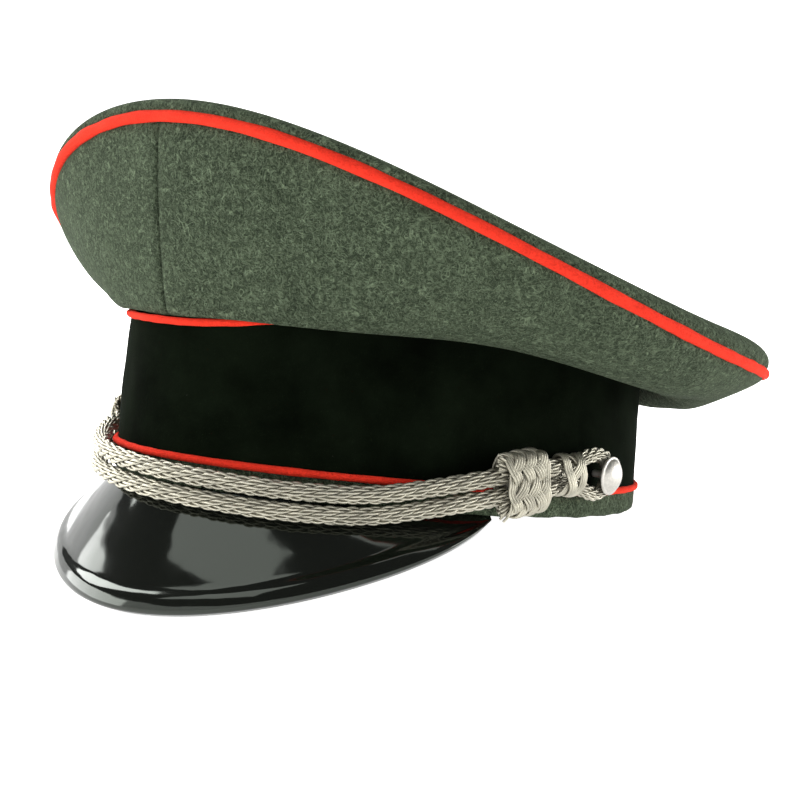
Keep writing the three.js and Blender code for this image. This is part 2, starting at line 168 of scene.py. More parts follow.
# Woven ribbon: wires, their radius in cord radii and their spacing in wire radii; how far the ribbon rises
# over itself, domes in its middle, and arches in front; and how much the sleeve's ends are drawn in.
RIBBON_WIRES, RIBBON_WIRE, RIBBON_PITCH = 4, 0.155, 1.95
WEAVE_LIFT, WEAVE_DOME, RIBBON_ARCH, END_PINCH = 0.00068, 0.0007, 0.00026, 0.06

# Cut wire ends in front of a slide: how many, their length, the bunch's height at its root and its climb,
# its spread at its root and its fanning, and its distance in front of the slide's middle.
CUT_WIRES, CUT_LENGTH = 10, 0.0044
CUT_RISE, CUT_CLIMB, CUT_SPREAD, CUT_FAN, CUT_AWAY = 0.0056, 0.0020, 0.0038, 0.0030, 0.0012

# End of the cord at one side: place from the button's shank (0) past the keeper (1) to the slide (2), or
# to the far side of the eye (-1), then height over the shank and distance over the plain band, metres.
END_ROUTE = np.array([
    (2.0, 0.0010, 0.0022), (1.6, 0.0018, 0.0018), (1.25, 0.0024, 0.0012), (0.9, 0.0034, 0.0008),
    (0.55, 0.0056, 0.0004), (0.25, 0.0066, 0.0), (-0.05, 0.0056, -0.0002), (-0.8, 0.0030, -0.0004),
    (-1.0, 0.0, -0.0004), (-0.8, -0.0030, -0.0004), (-0.05, -0.0056, -0.0002), (0.25, -0.0064, 0.0),
    (0.55, -0.0050, 0.0002), (0.9, -0.0034, 0.0002), (1.25, -0.0036, -0.0002), (1.6, -0.0044, 0.0002),
    (2.0, -0.0052, 0.0010),
])

# Turned button: part of its radius, and height in millimetres over its rim's back.
BUTTON_PROFILE = np.array([
    (0.02, -5.9), (0.2, -5.9), (0.22, -0.2), (0.6, -0.1), (0.9, 0.0), (0.98, 0.12), (1.0, 0.4),
    (0.99, 0.75), (0.94, 0.98), (0.90, 1.05), (0.86, 1.25), (0.78, 1.8), (0.66, 2.4), (0.5, 2.95),
    (0.34, 3.3), (0.18, 3.5), (0.06, 3.57), (0.01, 3.58),
])

# Camera: its way round from the front toward the wearer's left, its rise and its distance; where it looks.
CAMERA_TURN, CAMERA_RISE, CAMERA_DISTANCE, CAMERA_AIM_HEIGHT = radians(40.80), radians(6.52), 0.5408, 0.060
LOOK_TURN, LOOK_DIP, LOOK_ROLL = radians(39.99), radians(9.58), radians(0.19)
CAMERA_LENS, CAMERA_SENSOR = 66.8, 36

# Studio: radius and height of the floor's rings, its glow, the light of the room, and each soft light's
# name, turn and rise in degrees, distance, width and height in metres, and brightness.
FLOOR_RINGS = np.array([(0.001, 0), (1.2, 0), (2.2, 0), (2.8, 0.04), (3.2, 0.16), (3.5, 0.38), (3.7, 0.75),
                        (3.8, 1.3)])
FLOOR_SIDES = 96
FLOOR_GLOW, ROOM_LIGHT = 1.02, 0.15
LIGHTS = (
    ("window", -4, 50, 1.5, 1.02, 0.76, 2.5),
    ("left_low", -56, 6, 1.5, 1.30, 0.50, 5.5),
    ("left_high", -92, 40, 1.5, 1.20, 0.80, 11.0),
    ("overhead", 140, 64, 1.5, 1.00, 0.80, 1.8),
    ("right_back", 136, 4, 1.6, 1.00, 0.44, 12.0),
)


def length(name, description, default):
    return FloatProperty(name=name, description=description, default=default, unit="LENGTH")


def colour(name, description, default):
    return FloatVectorProperty(name=name, description=description, subtype="COLOR", size=3, min=0, max=1,
                               default=default)


class CapSizes(bpy.types.PropertyGroup):
    """Driving sizes of the cap."""

    lean: FloatProperty(name="Lean", description="How far the cap leans back", default=radians(9.75),
                        subtype="ANGLE")
    head_half_width: length("Head half width", "Base oval, side to side", 0.0852)
    head_half_length: length("Head half length", "Base oval, front to back", 0.1086)
    strip_height: length("Strip height", "Lower piping above the base", 0.0090)
    band_height: length("Band height", "Upper piping above the lower one", 0.0440)
    crown_half_width: length("Crown half width", "Top edge, side to side", 0.1296)
    crown_half_length: length("Crown half length", "Top edge, front to back", 0.1280)
    wool: length("Wool thickness", "Thickness of the crown's walls", 0.0020)
    band_wall: length("Band thickness", "Thickness of the band", 0.0030)
    strip_wall: length("Strip thickness", "Thickness of the base strip", 0.0026)
    crown_piping: length("Crown piping radius", "Piping of the top edge", 0.0021)
    band_piping: length("Band piping radius", "Piping of the band's edges", 0.0014)
    peak_reach: length("Peak reach", "How far the peak stands forward", 0.0158)
    peak_drop: length("Peak drop", "How far the peak comes down", 0.0355)
    peak_wall: length("Peak thickness", "Thickness of the peak", 0.0022)
    cord_radius: length("Cord radius", "One braided chin cord", 0.0030)
    cord_spacing: length("Cord spacing", "Between the two chin cords", 0.0065)
    button_radius: length("Button radius", "Side button", 0.0065)


class CapColours(bpy.types.PropertyGroup):
    """Colours of the cap, linear."""

    wool_dark: colour("Wool ground", "Dark fibres of the wool", (0.011, 0.017, 0.0095))
    wool_light: colour("Wool fleck", "Light fibres of the wool", (0.136, 0.178, 0.110))
    piping: colour("Piping", "Felt of the piping", (0.760, 0.035, 0.018))
    piping_nap: colour("Piping nap", "Brighter patches of the piping", (0.95, 0.052, 0.024))
    velvet: colour("Velvet", "Pile of the band", (0.0022, 0.0036, 0.0018))
    lint: colour("Lint", "Specks on the velvet", (0.10, 0.11, 0.09))
    peak: colour("Peak", "Lacquer of the peak", (0.0030, 0.0036, 0.0028))
    peak_wear: colour("Peak wear", "Dust and scratches on the lacquer", (0.035, 0.038, 0.034))
    board_dark: colour("Board ground", "Dark grain under the peak", (0.030, 0.034, 0.026))
    board_light: colour("Board fleck", "Light grain under the peak", (0.060, 0.064, 0.050))
    cord: colour("Cord", "Metal thread of the chin cord", (0.560, 0.535, 0.435))
    button: colour("Button", "Metal of the side buttons", (0.560, 0.540, 0.495))


def sizes():
    return bpy.context.scene.cap_sizes


def colours():
    return bpy.context.scene.cap_colours


# ---- shape of the cap

def oval(half_width, half_length, phi, height, centre_y=0.0, exponent=HEAD_POWER, egg=EGG):
    """Superellipse |x/a|^n + |y/b|^n = 1 at angle phi from the front, widened by egg toward the back."""
    s, c = np.sin(phi), np.cos(phi)
    k = (np.abs(s) ** exponent + np.abs(c) ** exponent) ** (-1.0 / exponent)
    y = -half_length * c * k
    x = half_width * s * k * (1 + egg * y / half_length)
    return np.stack(np.broadcast_arrays(x, y + centre_y, height), axis=-1)


def head_point(phi, height, offset=0.0):
    size = sizes()
    return oval(size.head_half_width + offset, size.head_half_length + offset, phi, height)


def band_point(phi, t, offset=0.0):
    """Face of the band, t = 0 at the lower piping and 1 at the upper: the oval narrows, lengthens and moves
    back in proportion to t, and the height is t (mean - wave cos(2 phi))."""
    size = sizes()
    height = size.strip_height + t * (size.band_height - BAND_WAVE * np.cos(2 * phi))
    half_width = size.head_half_width - BAND_NARROWS * t + offset
    half_length = size.head_half_length + BAND_LENGTHENS * t + offset
    return oval(half_width, half_length, phi, height, BAND_BACK * t)


def edge_point(phi, scale=1.0, spread=1.0):
    """Top edge of the crown at spread 1, and the skin stretched across it at a smaller one. At spread r the
    height is mean + lift r cos(phi) + saddle r^2 cos(2 phi) + third r^3 cos(3 phi)."""
    size = sizes()
    height = (EDGE_MEAN + EDGE_LIFT * spread * np.cos(phi) + EDGE_SADDLE * spread ** 2 * np.cos(2 * phi)
              + EDGE_THIRD * spread ** 3 * np.cos(3 * phi))
    half_width, half_length = size.crown_half_width * scale, size.crown_half_length * scale
    return oval(half_width, half_length, phi, height, CROWN_BACK, CROWN_POWER, 0.0)


def unit(vectors):
    return vectors / np.maximum(np.linalg.norm(vectors, axis=-1, keepdims=True), 1e-12)


def square_to(vectors, along):
    """Unit vectors at right angles to along, as near as can be to the given ones."""
    return unit(vectors - along * np.sum(vectors * along, -1, keepdims=True))


def outward(phi):
    """Level direction away from the head at phi."""
    size = sizes()
    x, y = size.head_half_length * np.sin(phi), -size.head_half_width * np.cos(phi)
    return unit(np.stack([x, y, 0 * phi], axis=-1))


def smooth_table(rows, at):
    """Smooth curve through the rows of a table whose first column is the place, by cubic Hermite pieces
    whose slopes are those of the neighbouring rows."""
    x, values = rows[:, 0], rows[:, 1:]
    slopes = np.gradient(values, x, axis=0)
    i = np.clip(np.searchsorted(x, at) - 1, 0, len(x) - 2)
    h = (x[i + 1] - x[i])[:, None]
    f = (at - x[i])[:, None] / h
    return ((1 + 2 * f) * (1 - f) ** 2 * values[i] + f * (1 - f) ** 2 * h * slopes[i]
            + f ** 2 * (3 - 2 * f) * values[i + 1] - f ** 2 * (1 - f) * h * slopes[i + 1])


def smooth_rows(rows, count):
    """Smooth curve of count points through rows that are taken as evenly spaced."""
    places = np.arange(len(rows), dtype=float)
    return smooth_table(np.column_stack([places, rows]), np.linspace(0, places[-1], count))


def round_table(rows, phi):
    """Smooth curve through rows for every 30 degrees from front to back, mirrored at both."""
    mirrored = np.concatenate([rows[1:2], rows, rows[-2:-1]])
    degrees = 30.0 * np.arange(-1, len(rows) + 1)
    return smooth_table(np.column_stack([degrees, mirrored]), np.degrees(np.abs(phi)))


def ripple(u, v, seed, waves=9, fine=6.0):
    """Sum of sine waves of seeded direction and phase, about -1 to 1."""
    rng = np.random.default_rng(seed)
    total = 0.0
    for _ in range(waves):
        ku, kv = rng.normal(0, fine, 2)
        total = total + np.sin(ku * u + kv * v + rng.uniform(0, TURN))
    return total / waves ** 0.5


def leaned(points):
    return points @ np.array(Matrix.Rotation(-sizes().lean, 3, "X")).T


def stand():
    """Shift from the leaned cap's own origin to the floor: where the frame's base strip lies, less where
    the same strip comes out before the shift."""
    low = leaned(head_point(np.linspace(-pi, pi, 721), 0.0)).min(axis=0)
    return (np.array(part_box("base_strip")[0]) - low) * [0, 1, 1]


# ---- meshes from arrays

def skin_faces(count_u, count_v, ring):
    """Quads of a sheet that is closed along v, and along u where ring is true; otherwise a strip between
    the two halves of v closes each end."""
    i = np.arange(count_u if ring else count_u - 1)[:, None]
    j = np.arange(count_v)[None, :]
    row, next_row, k = i * count_v, (i + 1) % count_u * count_v, (j + 1) % count_v
    faces = np.stack([row + j, next_row + j, next_row + k, row + k], -1).reshape(-1, 4)
    if ring:
        return faces
    k = np.arange(count_v // 2 - 1)
    end = np.stack([k, k + 1, count_v - 2 - k, count_v - 1 - k], -1)
    return np.concatenate([faces, end, end[:, ::-1] + (count_u - 1) * count_v])


def skin(grid, ring=False):
    """Points and quads of a grid of points."""
    return grid.reshape(-1, 3), skin_faces(*grid.shape[:2], ring)


def face_outward(points, faces):
    """Reverses the quads where the enclosed volume comes out negative."""
    a, b, c, d = (points[faces[:, k]] for k in range(4))
    volume = np.sum(a * np.cross(b, c)) + np.sum(a * np.cross(c, d))
    return faces[:, ::-1] if volume < 0 else faces


def mesh_object(name, points, faces, material):
    """Smooth object from an array of points and one of quads."""
    mesh = bpy.data.meshes.new(name)
    mesh.vertices.add(len(points))
    mesh.vertices.foreach_set("co", points.ravel())
    mesh.loops.add(faces.size)
    mesh.loops.foreach_set("vertex_index", faces.ravel())
    mesh.polygons.add(len(faces))
    mesh.polygons.foreach_set("loop_start", np.arange(len(faces)) * 4)
    mesh.polygons.foreach_set("use_smooth", np.ones(len(faces), dtype=bool))
    mesh.materials.append(material)
    piece = bpy.data.objects.new(name, mesh)
    bpy.context.collection.objects.link(piece)
    return piece


def make_piece(name, points, faces, node, slot, uv=None, second=None, kind=None):
    """Object leaned and stood in place, riding on the root body in place of a node. It takes its slot's
    finish, or the one that kind names. second is another finish and the faces that take it."""
    faces = np.array(face_outward(points, faces))
    piece = mesh_object(name, leaned(points) + stand(), faces, finish(kind or slot))
    if second:
        piece.data.materials.append(finish(second[0]))
        piece.data.polygons.foreach_set("material_index", second[1].astype(np.int32))
    if uv is not None:
        layer = piece.data.uv_layers.new(name="Along")
        layer.uv.foreach_set("vector", uv[faces.ravel()].ravel())
    piece.data.update(calc_edges=True)
    piece.data.validate()
    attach(piece, "root")
    if node:
        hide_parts(node)


def change(grid, axis, ring=False):
    """Differences along one direction of a grid of points, which closes where ring is true."""
    return np.roll(grid, -1, axis) - np.roll(grid, 1, axis) if ring else np.gradient(grid, axis=axis)


def grid_normals(grid, ring=False):
    return unit(np.cross(change(grid, 0, ring), change(grid, 1)))


def circling(first, second, turns):
    """Directions that turn from the first toward the second, and the ones a quarter turn ahead of them."""
    c, s = np.cos(turns)[..., None], np.sin(turns)[..., None]
    return first * c + second * s, second * c - first * s


def half_round(outer, inner, normal, away):
    """Points of a half round edge from the outer face's border to the inner one's, bulging away."""
    turns = np.radians([36, 72, 108, 144])
    reach = np.linalg.norm(outer - inner, axis=-1)[:, None, None] / 2
    return (outer + inner)[:, None] / 2 + reach * circling(normal[:, None], away[:, None], turns)[0]


def wall(outer, thickness, ring):
    """Closed wall: the outer face, a half round edge, the inner face set in by the thickness along the
    normal, and a half round edge back. Each station's loop starts in the middle of the lower edge."""
    normal = grid_normals(outer, ring)
    inner = outer - normal * thickness
    along = unit(change(outer, 1))
    top = half_round(outer[:, -1], inner[:, -1], normal[:, -1], along[:, -1])
    foot = half_round(outer[:, 0], inner[:, 0], normal[:, 0], -along[:, 0])
    return np.roll(np.concatenate([outer, top, inner[:, ::-1], foot[:, ::-1]], axis=1), 2, axis=1)


def wall_piece(name, outer, thickness, ring, node, slot):
    make_piece(name, *skin(wall(outer, thickness, ring), ring), node, slot)


def sweep(paths, guide, radius, sides, ring=False):
    """Round tubes along many paths at once: points at radius about each path point, in the plane of the
    guide direction and its cross product with the path's own. Gives points, faces and (along, around)."""
    count, steps = paths.shape[:2]
    along = unit(change(paths, 1, ring))
    across = square_to(guide, along)
    third = np.cross(along, across)
    turn = np.arange(sides) / sides * TURN
    thick = np.broadcast_to(radius, paths.shape[:2])[..., None, None]
    points = paths[:, :, None] + thick * circling(across[:, :, None], third[:, :, None], turn)[0]
    one = skin_faces(steps, sides, ring)
    faces = (one[None] + (np.arange(count) * steps * sides)[:, None, None]).reshape(-1, 4)
    travelled = np.linalg.norm(np.diff(paths, axis=1, prepend=paths[:, :1]), axis=-1).cumsum(1)
    uv = np.stack(np.broadcast_arrays(travelled[..., None], turn * np.mean(radius)), -1)
    return points.reshape(-1, 3), faces, uv.reshape(-1, 2)


def join(parts):
    """Joins (points, faces, uv) parts into one."""
    points, faces, uvs = zip(*parts)
    shifts = np.cumsum([0] + [len(p) for p in points[:-1]])
    faces = [part + shift for part, shift in zip(faces, shifts)]
    return np.concatenate(points), np.concatenate(faces), np.concatenate(uvs)


# ---- materials

class Finish:
    """Builds one material: nodes are added by kind, and values or links are given by input name."""

    def __init__(self, name):
        self.material = bpy.data.materials.new(name)
        self.material.use_nodes = True
        self.nodes = self.material.node_tree.nodes
        self.links = self.material.node_tree.links
        self.shader = self.nodes["Principled BSDF"]
        self.place = self.add("TexCoord").outputs["Object"]

    def set(self, node, **inputs):
        for name, value in inputs.items():
            socket = node.inputs[int(name[1:])] if name[0] == "_" else node.inputs[name.replace("_", " ")]
            if isinstance(value, bpy.types.NodeSocket):
                self.links.new(value, socket)
            else:
                socket.default_value = (*value, 1.0) if socket.type == "RGBA" else value
        return node

    def add(self, kind, **inputs):
        return self.set(self.nodes.new("ShaderNode" + kind), **inputs)

    def surface(self, **inputs):
        self.set(self.shader, **inputs)

    def noise(self, scale, detail=2.0, roughness=0.5, distortion=0.0, vector=None):
        return self.add("TexNoise", Vector=vector or self.place, Scale=scale, Detail=detail,
                        Roughness=roughness, Distortion=distortion).outputs["Fac"]

    def cells(self, scale):
        return self.add("TexVoronoi", Vector=self.place, Scale=scale).outputs["Distance"]

    def mapped(self, **inputs):
        """Object place, moved, turned or scaled."""
        return self.add("Mapping", Vector=self.place, **inputs).outputs[0]

    def ramp(self, value, low, high, start=0.0, end=1.0):
        return self.add("MapRange", Value=value, From_Min=low, From_Max=high, To_Min=start,
                        To_Max=end).outputs[0]

    def math(self, operation, first, second=0.0):
        node = self.add("Math", _0=first, _1=second)
        node.operation = operation
        return node.outputs[0]

    def plus(self, first, second):
        return self.math("ADD", first, second)

    def times(self, first, second):
        return self.math("MULTIPLY", first, second)

    def mix(self, factor, first, second):
        node = self.nodes.new("ShaderNodeMix")
        node.data_type = "RGBA"
        return self.set(node, _0=factor, _6=first, _7=second).outputs[2]

    def bump(self, height, distance, strength=1.0):
        node = self.add("Bump", Height=height, Distance=distance, Strength=strength)
        self.surface(Normal=node.outputs[0])


def fibres(f, scale, offset, width):
    """Curly light fibres: the thin level lines of a noise, broken up by a second noise."""
    shift = f.mapped(Location=(offset, -offset, 0.5 * offset))
    level = f.math("ABSOLUTE", f.math("SUBTRACT", f.noise(scale, 1.5, 0.6, 0.8, shift), 0.5))
    broken = f.ramp(f.noise(scale * 1.9, 1, 0.5, 0.0, shift), 0.47, 0.60)
    return f.times(f.ramp(level, width, 0.0), broken)


def wool_finish(f, colour):
    """Heathered wool: clumps of light and dark fibres, curly single fibres over them, faint large clouds,
    felted bump and a soft sheen."""
    clumps = f.ramp(f.noise(440, 4, 0.62, 2.4), 0.43, 0.58)
    grains = f.ramp(f.noise(1150, 2, 0.6, 1.4), 0.40, 0.60)
    clouds = f.ramp(f.noise(60, 4, 0.6), 0.36, 0.66)
    hair = f.math("MAXIMUM", fibres(f, 170, 3.0, 0.017), fibres(f, 235, 7.0, 0.021))
    hair = f.math("MAXIMUM", hair, fibres(f, 330, 11.0, 0.026))
    level = f.plus(f.plus(f.times(clumps, 0.42), f.times(grains, 0.26)), f.times(clouds, 0.10))
    ground = f.mix(level, colour.wool_dark, colour.wool_light)
    f.surface(Base_Color=f.mix(f.times(hair, 0.85), ground, colour.wool_light * 1.45), Roughness=0.95,
              Specular_IOR_Level=0.04, Sheen_Weight=0.05, Sheen_Roughness=0.5, Sheen_Tint=(0.7, 0.82, 0.6))
    f.bump(f.plus(f.plus(f.times(clumps, 0.8), f.times(hair, 0.9)), f.times(grains, 0.5)), 0.00055)


def felt_finish(f, colour):
    """Red felt of the piping: fine matted noise in colour and bump."""
    matted = f.ramp(f.noise(900, 5, 0.65, 1.2), 0.3, 0.7)
    patches = f.ramp(f.noise(120, 3, 0.6), 0.3, 0.7)
    base = f.mix(matted, colour.piping * 0.68, colour.piping * 1.05)
    f.surface(Base_Color=f.mix(f.times(patches, 0.3), base, colour.piping_nap), Roughness=0.9,
              Specular_IOR_Level=0.05, Sheen_Weight=0.08, Sheen_Roughness=0.4, Sheen_Tint=(1.0, 0.25, 0.15))
    f.bump(f.plus(matted, patches), 0.0004, 0.8)


def velvet_finish(f, colour):
    """Velvet: almost black pile with faint nap patches, lint specks and a low sheen."""
    nap = f.ramp(f.noise(45, 4, 0.6), 0.3, 0.75)
    base = f.mix(nap, colour.velvet * 0.5, colour.velvet * 1.8)
    specks = f.times(f.ramp(f.cells(260), 0.045, 0.02), f.ramp(f.noise(70, 1), 0.62, 0.66))
    f.surface(Base_Color=f.mix(f.times(specks, 0.5), base, colour.lint), Roughness=0.98,
              Specular_IOR_Level=0.01, Sheen_Weight=0.008, Sheen_Roughness=0.35, Sheen_Tint=(0.6, 0.78, 0.5))
    f.bump(f.plus(f.noise(1600, 2, 0.6), nap), 0.0002, 0.5)


def lacquer_finish(f, colour):
    """Lacquered fibre: black gloss under a clear coat, faint unevenness, dust and fine scratches."""
    haze = f.ramp(f.noise(60, 4, 0.6), 0.35, 0.8, 0.06, 0.13)
    dust = f.ramp(f.noise(1900, 2, 0.6), 0.66, 0.8)
    streaks = f.mapped(Rotation=(0.2, 0.1, 0.5), Scale=(2200, 90, 700))
    scratch = f.ramp(f.noise(1.0, 2, 0.5, 0.2, streaks), 0.70, 0.78)
    wear = f.math("MAXIMUM", f.times(dust, 0.5), f.times(scratch, 0.35))
    f.surface(Base_Color=f.mix(wear, colour.peak, colour.peak_wear), Roughness=haze,
              Specular_IOR_Level=0.45, Specular_Tint=(0.9, 1.0, 0.88), Coat_Weight=0.05,
              Coat_Roughness=0.03, Coat_IOR=1.5)
    f.bump(f.noise(48, 2, 0.45), 0.0010, 0.55)


def underside_finish(f, colour):
    """Plain matt underside of the peak: fine grain on dark board."""
    grain = f.ramp(f.noise(700, 4, 0.6), 0.3, 0.7)
    f.surface(Base_Color=f.mix(grain, colour.board_dark, colour.board_light), Roughness=0.85,
              Specular_IOR_Level=0.2)
    f.bump(grain, 0.0002, 0.6)


def thread_finish(f, colour):
    """Metal thread: silver wound wire with fine turns across it, painted shade in the grooves between them,
    tarnish in soft patches.
    """
    along = f.add("TexCoord").outputs["UV"]
    turns = f.add("TexWave", Vector=along, Scale=1100, Distortion=0.6, Detail=1.0, Detail_Scale=40)
    tarnish = f.ramp(f.noise(140, 4, 0.6), 0.35, 0.7)
    base = f.mix(tarnish, colour.cord, colour.cord * 0.62)
    # Darker lines in the troughs of the turns: painted shade in the grooves between the wire's turns.
    base = f.mix(f.ramp(turns.outputs["Fac"], 0.0, 0.35, 0.45, 0.0), base, colour.cord * 0.25)
    f.surface(Base_Color=base, Roughness=f.ramp(tarnish, 0, 1, 0.34, 0.5), Metallic=0.82)
    f.bump(turns.outputs["Fac"], 0.00005, 0.5)


def button_finish(f, colour):
    """Matt silver with a faint fine pebble: rounded cells raised a little between shallow grooves, which are
    painted darker as shade.
    """
    pebble = f.ramp(f.cells(1500), 0.15, 0.75)
    stain = f.ramp(f.noise(260, 3, 0.6), 0.35, 0.7)
    # The cells' edges are painted darker: painted shade in the grooves between the raised cells.
    base = f.mix(f.times(pebble, 0.35), colour.button, colour.button * 0.55)
    f.surface(Base_Color=f.mix(f.times(stain, 0.3), base, colour.button * 0.7), Metallic=0.85,
              Roughness=f.ramp(f.noise(500, 2), 0.3, 0.7, 0.38, 0.5))
    f.bump(f.math("SUBTRACT", 1.0, pebble), 0.00004, 0.5)


def shaded_core_finish(f, colour):
    """Inside of the woven slides and the cords: thread painted dark as the shade that falls there, with a
    fine grain.
    """
    grain = f.ramp(f.noise(900, 2, 0.6), 0.3, 0.7)
    f.surface(Base_Color=f.mix(grain, colour.cord * 0.10, colour.cord * 0.22), Roughness=0.8)
    f.bump(grain, 0.0002, 0.6)


# Each finish: the name of its material and the function that sets its nodes.
FINISHES = {
    "wool": ("wool_cloth", wool_finish),
    "piping": ("felt_roll", felt_finish),
    "velvet": ("velvet_pile", velvet_finish),
    "peak": ("black_lacquer", lacquer_finish),
    "cloth_back": ("cloth_back", underside_finish),
    "cord": ("metal_thread", thread_finish),
    "button": ("button_metal", button_finish),
    # The core finish is painted shade: it darkens the gaps between the cords' strands and behind the slides'
    # weave.
    "shaded_core": ("thread_core_painted_shade", shaded_core_finish),
}


def finish(kind):
    """The material of one kind, made the first time that it is asked for."""
    name, make = FINISHES[kind]
    if name not in bpy.data.materials:
        make(Finish(name), colours())
    return bpy.data.materials[name]


# ---- wool crown

def bezier(a, b, c, d, t):
    return (1 - t) ** 3 * a + 3 * t * (1 - t) ** 2 * b + 3 * t ** 2 * (1 - t) * c + t ** 3 * d


def panel_surface(sign, count_phi=181, count_t=56):
    """Outer face of half the crown's side: for each angle a cubic Bezier curve from the band's top to just
    under the top edge, with dents, soft ripples and a groove at the front and back seams."""
    size = sizes()
    phi = sign * np.linspace(radians(0.08), pi - radians(0.08), count_phi)
    t = np.linspace(0, 1, count_t)[None, :]
    foot_by, out_by, up_by, in_by, down_by = round_table(PANEL_ROWS, phi).T[..., None]
    foot = band_point(phi, 1.0, foot_by[:, 0]) + UP * FOOT_LIFT * size.band_piping
    head = edge_point(phi) - UP * HEAD_DROP * size.crown_piping
    out = unit((head - foot) * [1, 1, 0])
    head = head + out * WOOL_REACH
    leave = foot + out * out_by + UP * up_by
    arrive = head - out * in_by - UP * down_by
    surface = bezier(foot[:, None], leave[:, None], arrive[:, None], head[:, None], t[..., None])
    degrees = np.degrees(phi)[:, None]
    rise = SIDE_RIPPLE * ripple(phi[:, None], t, SEED, 12, 5.0) * np.sin(pi * t)
    for centre, level, spread, band, height in DENTS:
        rise = rise + height * np.exp(-((degrees - centre) / spread) ** 2 - ((t - level) / band) ** 2)
    seam = np.minimum(np.abs(phi), pi - np.abs(phi))[:, None] * size.head_half_length
    rise = rise - SEAM_DEPTH * np.exp(-(seam / SEAM_WIDTH) ** 2)
    turned_in = TURN_IN * (np.exp((t - 1) / TURN_IN_SPREAD) + np.exp(-t / TURN_IN_SPREAD))
    return surface + grid_normals(surface) * sign * (rise - turned_in)[..., None]


def top_surface(count_phi=300, count_r=64):
    """Outer face of the top: the skin stretched across the edge oval, with a roll over the piping that is
    (1 - r^sharpness)^0.5 of its height and hangs out most where it is half way up, and a sunken middle."""
    size = sizes()
    phi = np.linspace(-pi, pi, count_phi, endpoint=False)[:, None]
    r = 1 - np.linspace(0, 1, count_r)[None, :] ** 2.4 * 0.992
    rise = (1 - r ** ROLL_SHARPNESS) ** 0.5
    reach = WOOL_REACH + 4 * ROLL_OVERHANG * rise * (1 - rise)
    place = edge_point(phi, r + reach / size.crown_half_width)
    roll = ROLL_HEIGHT + ROLL_FIRST * r * np.cos(phi) + ROLL_THIRD * r ** 3 * np.cos(3 * phi)
    ripples = TOP_RIPPLE * ripple(place[..., 0], place[..., 1], SEED + 1, 10, 45.0) * (1 - r ** 6)
    level = 0.7 * size.crown_piping + roll * rise - ROLL_SINK * (1 - r ** 2) + ripples
    place[..., 2] = edge_point(phi, 1.0, r)[..., 2] + level
    return place


class CAP_OT_wool_crown(bpy.types.Operator):
    """Builds the crown's side panels and puffed top"""

    bl_idname = "cap.wool_crown"
    bl_label = "Wool Crown"

    def execute(self, context):
        thickness = sizes().wool
        for side, sign in (("left", 1), ("right", -1)):
            outer = panel_surface(sign)[::sign]
            wall_piece("crown_side_" + side, outer, thickness, False, "crown_panel_" + side, "wool")
        top = top_surface()
        normal = grid_normals(top, True)
        inner = top - normal * thickness
        edge = half_round(top[:, 0], inner[:, 0], normal[:, 0], unit(top[:, 0] - top[:, 1]))
        rings = np.concatenate([top[:, ::-1], edge, inner], axis=1).transpose(1, 0, 2)
        make_piece("crown_roof", *skin(rings), "crown_top", "wool")
        return {"FINISHED"}


# ---- piping, band and base strip

def piping_ring(name, path, radius, node):
    """Closed round roll along path(phi), with its radius and middle wandering a little as felt does."""
    phi = np.linspace(-pi, pi, 900, endpoint=False)
    centre = path(phi)
    wander = FELT_WANDER * ripple(np.sin(phi), np.cos(phi), SEED + 2, 12, 30.0)
    centre = centre + outward(phi) * wander[:, None]
    swell = radius * (1 + FELT_SWELL * ripple(np.sin(phi), np.cos(phi), SEED + 3, 14, 45.0))
    points, faces, uv = sweep(centre[None], outward(phi)[None], swell[None], 16, ring=True)
    make_piece(name, points, faces, node, "piping", uv)


def tucked(phi):
    """How far the wool's foot covers the upper piping: 0 round the front and its right side, and 1 past 31
    degrees on the left and past 99 on the right, with a smooth step between."""
    f = np.clip((np.abs(np.degrees(phi) - TUCK_MIDDLE) - TUCK_BARE) / TUCK_FADE, 0, 1)
    return f * f * (3 - 2 * f)


class CAP_OT_piping(bpy.types.Operator):
    """Builds the red piping round the crown and along both edges of the band"""

    bl_idname = "cap.piping"
    bl_label = "Piping"

    def execute(self, context):
        def edge_of_band(phi, t, tuck):
            return band_point(phi, t + TUCK_UP * tuck, PROUD - TUCK_IN * tuck)

        crown_roll, band_roll = sizes().crown_piping * CROWN_ROLL, sizes().band_piping * BAND_ROLL
        piping_ring("piping_of_crown", edge_point, crown_roll, "crown_piping")
        piping_ring("piping_of_band_top", lambda phi: edge_of_band(phi, 1, tucked(phi)), band_roll,
                    "band_top_piping")
        piping_ring("piping_of_band_foot", lambda phi: edge_of_band(phi, 0, 0), band_roll,
                    "band_bottom_piping")
        return {"FINISHED"}


class CAP_OT_band(bpy.types.Operator):
    """Builds the velvet band and the wool strip below it"""

    bl_idname = "cap.band"
    bl_label = "Band and Base Strip"

    def execute(self, context):
        size = sizes()
        phi = np.linspace(-pi, pi, 360, endpoint=False)[:, None]
        t = 0.015 + np.linspace(0, 1, 40)[None, :] * (0.970 + 0.040 * tucked(phi))
        band = band_point(phi, t)
        puff = (BAND_PUFF + BAND_RIPPLE * ripple(phi * 1.8, t * 1.5, SEED + 4)) * np.sin(pi * t)
        band = band + outward(phi) * puff[..., None]
        wall_piece("velvet_band", band, size.band_wall, True, "cap_band", "velvet")
        height = np.linspace(0.0013, size.strip_height - 0.0006, 16)[None, :]
        strip = head_point(phi, height)
        level = height / size.strip_height
        swell = STRIP_PUFF * np.sin(pi * level) + STRIP_RIPPLE * ripple(phi * 9, level, SEED + 5)
        strip = strip + outward(phi) * swell[..., None]
        wall_piece("wool_strip", strip, size.strip_wall, True, "base_strip", "wool")
        return {"FINISHED"}


# ---- peak

